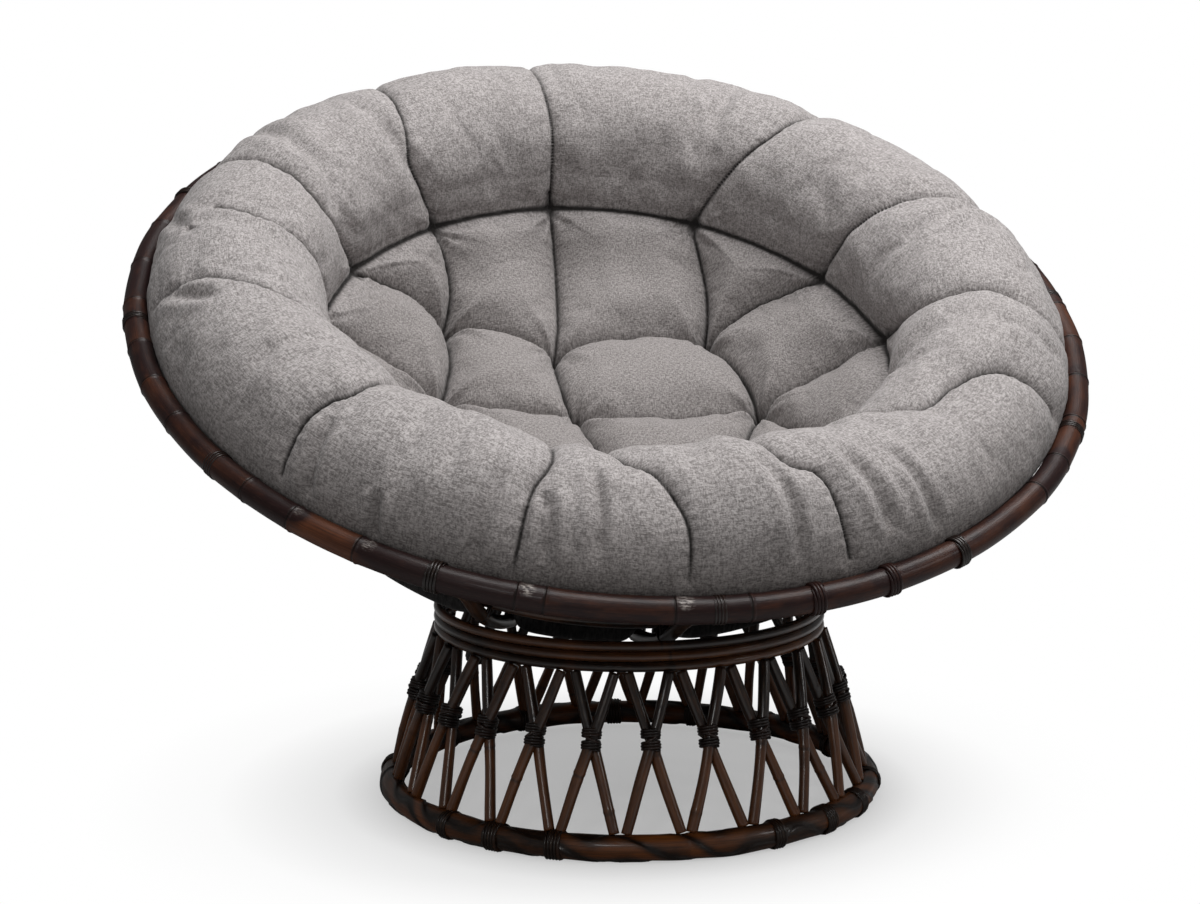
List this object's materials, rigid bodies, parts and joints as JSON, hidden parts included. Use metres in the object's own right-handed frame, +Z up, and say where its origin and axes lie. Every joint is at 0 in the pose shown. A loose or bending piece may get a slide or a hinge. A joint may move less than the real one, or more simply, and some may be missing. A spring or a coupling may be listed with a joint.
{
  "type": "papasan chair",
  "caption": "Round rattan bowl chair with a tufted, channelled cushion; the bowl leans in the top ring of a low drum base of crossed, lashed rods.",
  "frame": {"origin": "on the floor, under the middle of the bowl's rim", "axes": "+Z up; the chair faces -Y, and the bowl leans that way; +X is the sitter's left"},
  "size_m": [1.084, 0.9686, 0.8027],
  "materials": {
    "rim_rattan": "satin",
    "frame_rattan": "satin",
    "floor_rattan": "satin",
    "cushion_fabric": "matte"
  },
  "bodies": {
    "base": {"floor_hoop": "floor_rattan", "lattice_crossing_01": "frame_rattan", "lattice_crossing_02": "frame_rattan", "lattice_crossing_03": "frame_rattan", "lattice_crossing_04": "frame_rattan", "lattice_crossing_05": "frame_rattan", "lattice_crossing_06": "frame_rattan", "lattice_crossing_07": "frame_rattan", "lattice_crossing_08": "frame_rattan", "lattice_crossing_09": "frame_rattan", "lattice_crossing_10": "frame_rattan", "lattice_crossing_11": "frame_rattan", "lattice_crossing_12": "frame_rattan", "lattice_crossing_13": "frame_rattan", "lattice_crossing_14": "frame_rattan", "lattice_crossing_15": "frame_rattan", "lattice_crossing_16": "frame_rattan", "lattice_crossing_17": "frame_rattan", "lattice_crossing_18": "frame_rattan", "lattice_crossing_19": "frame_rattan", "lattice_crossing_20": "frame_rattan", "lattice_crossing_21": "frame_rattan", "lattice_crossing_22": "frame_rattan", "lattice_crossing_23": "frame_rattan", "lattice_crossing_24": "frame_rattan", "stack_hoop_lower": "frame_rattan", "stack_hoop_middle": "frame_rattan"},
    "seat_ring": {"seat_hoop": "frame_rattan"},
    "bowl": {"rim_hoop": "rim_rattan", "rib_01": "frame_rattan", "rib_02": "frame_rattan", "rib_03": "frame_rattan", "rib_04": "frame_rattan", "rib_05": "frame_rattan", "rib_06": "frame_rattan", "rib_07": "frame_rattan", "rib_08": "frame_rattan", "rib_09": "frame_rattan", "rib_10": "frame_rattan", "rib_11": "frame_rattan", "rib_12": "frame_rattan", "bowl_foot_hoop": "frame_rattan", "bowl_hoop_lower": "frame_rattan", "bowl_hoop_upper": "frame_rattan"},
    "cushion": {"cushion": "cushion_fabric"}
  },
  "joints": [
    {"name": "bowl_turn", "type": "hinge", "parent": "base", "child": "seat_ring", "pos_m": [0, -0.08655, 0.21], "axis": [0, 0, 1], "continuous": true},
    {"name": "bowl_tilt", "type": "hinge", "parent": "seat_ring", "child": "bowl", "pos_m": [0, -0.08655, 0.69381], "axis": [1, 0, 0], "range_deg": [-27, 2]},
    {"name": "cushion_lift", "type": "slide", "parent": "bowl", "child": "cushion", "axis": [0, -0.4555, 0.8902], "range_m": [0, 0.35]}
  ]
}
